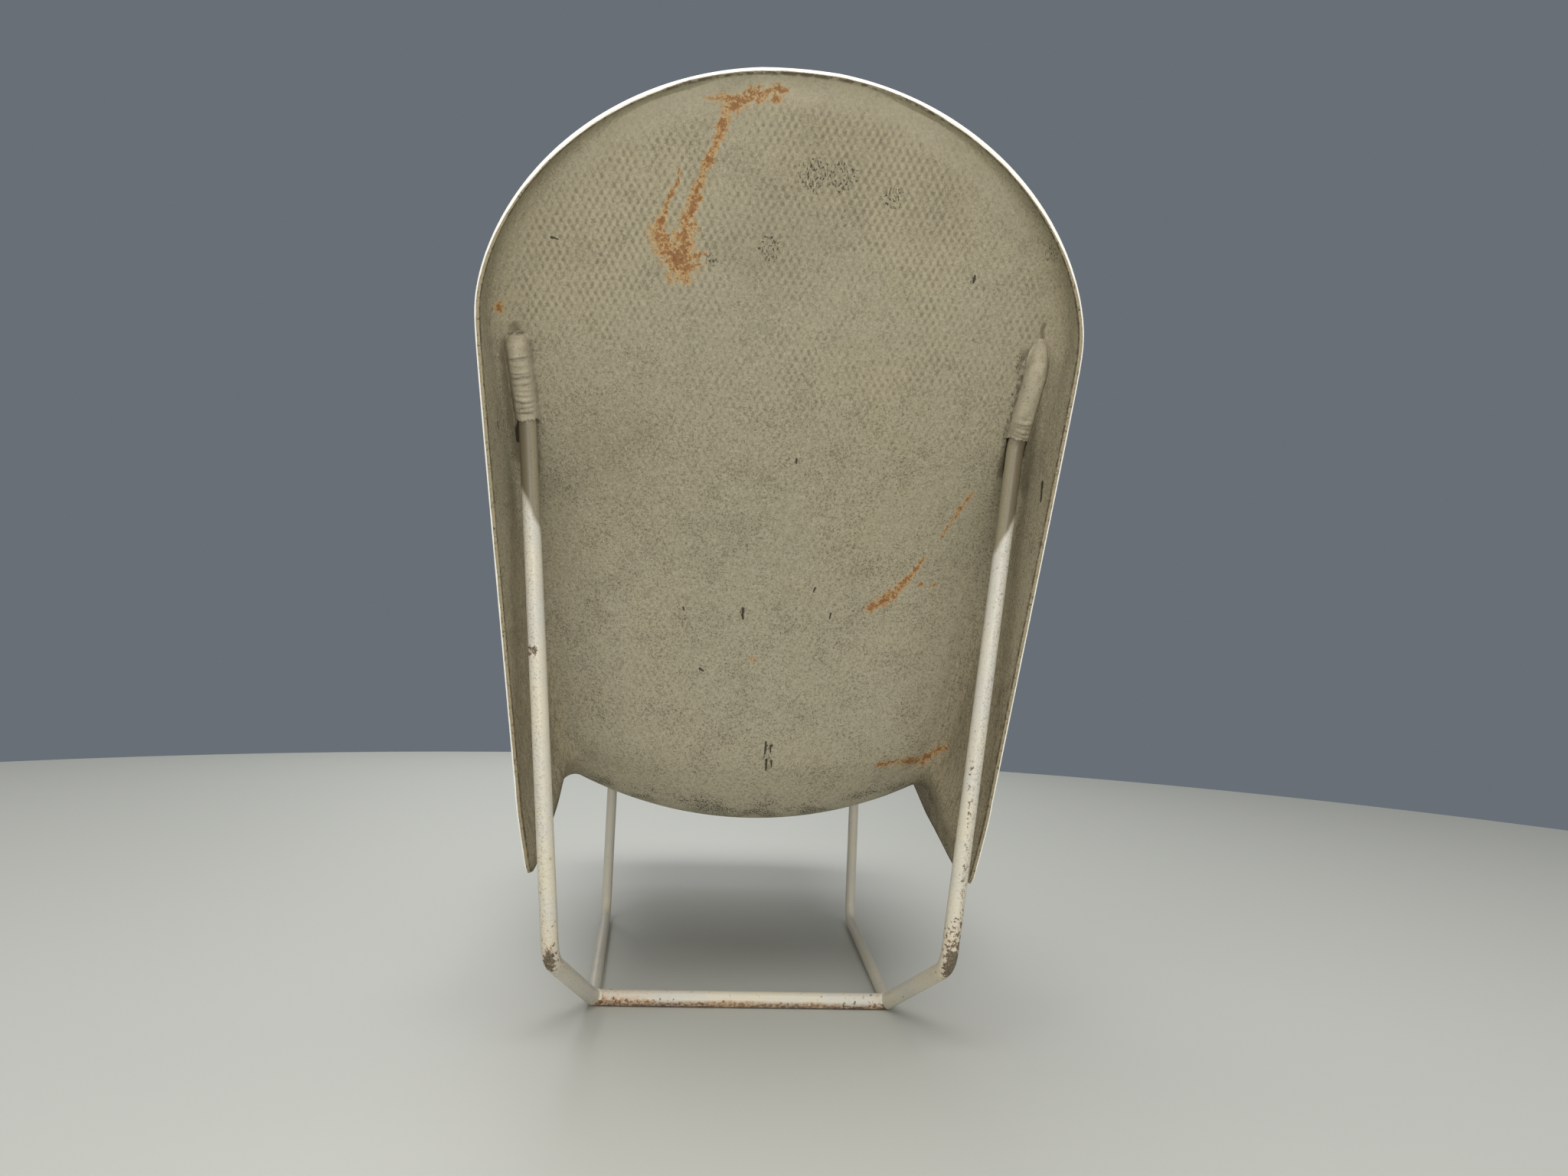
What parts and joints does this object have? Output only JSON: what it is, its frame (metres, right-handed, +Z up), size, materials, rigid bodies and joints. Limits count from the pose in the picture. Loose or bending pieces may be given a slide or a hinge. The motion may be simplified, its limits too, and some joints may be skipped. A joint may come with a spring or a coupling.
{
  "type": "chaise lounge",
  "caption": "One-piece moulded fibreglass lounge shell, dished back, seat and leg rest with rolled rim and side skirts, bonded to a welded frame of bent steel tube.",
  "frame": {"origin": "on the floor, under the middle of the rear floor bar", "axes": "+Z up, the sitter faces -Y, +X towards the sitter's left"},
  "size_m": [0.6634, 1.1874, 1.0662],
  "materials": {
    "moulded_shell": "white gelcoat on the moulded side, bare woven-glass laminate behind",
    "painted_tube": "white paint, worn and rust-spotted",
    "painted_weld": "painted weld, rusting",
    "glass_tab": "hand-laid glass cloth in resin",
    "resin_bed": "filled resin"
  },
  "bodies": {
    "root": {"seat_shell": "moulded_shell", "rear_floor_bar": "painted_tube", "rear_leg_left": "painted_tube", "rear_leg_right": "painted_tube", "side_tube_left": "painted_tube", "side_tube_right": "painted_tube", "runner_weld_left": "painted_weld", "runner_weld_right": "painted_weld", "mitre_weld_left": "painted_weld", "mitre_weld_right": "painted_weld", "rear_bond_tab_left": "glass_tab", "rear_bond_tab_right": "glass_tab", "front_bond_tab_left": "glass_tab", "front_bond_tab_right": "glass_tab", "rear_bond_bed_left": "resin_bed", "rear_bond_bed_right": "resin_bed", "front_bond_bed_left": "resin_bed", "front_bond_bed_right": "resin_bed"}
  },
  "joints": []
}
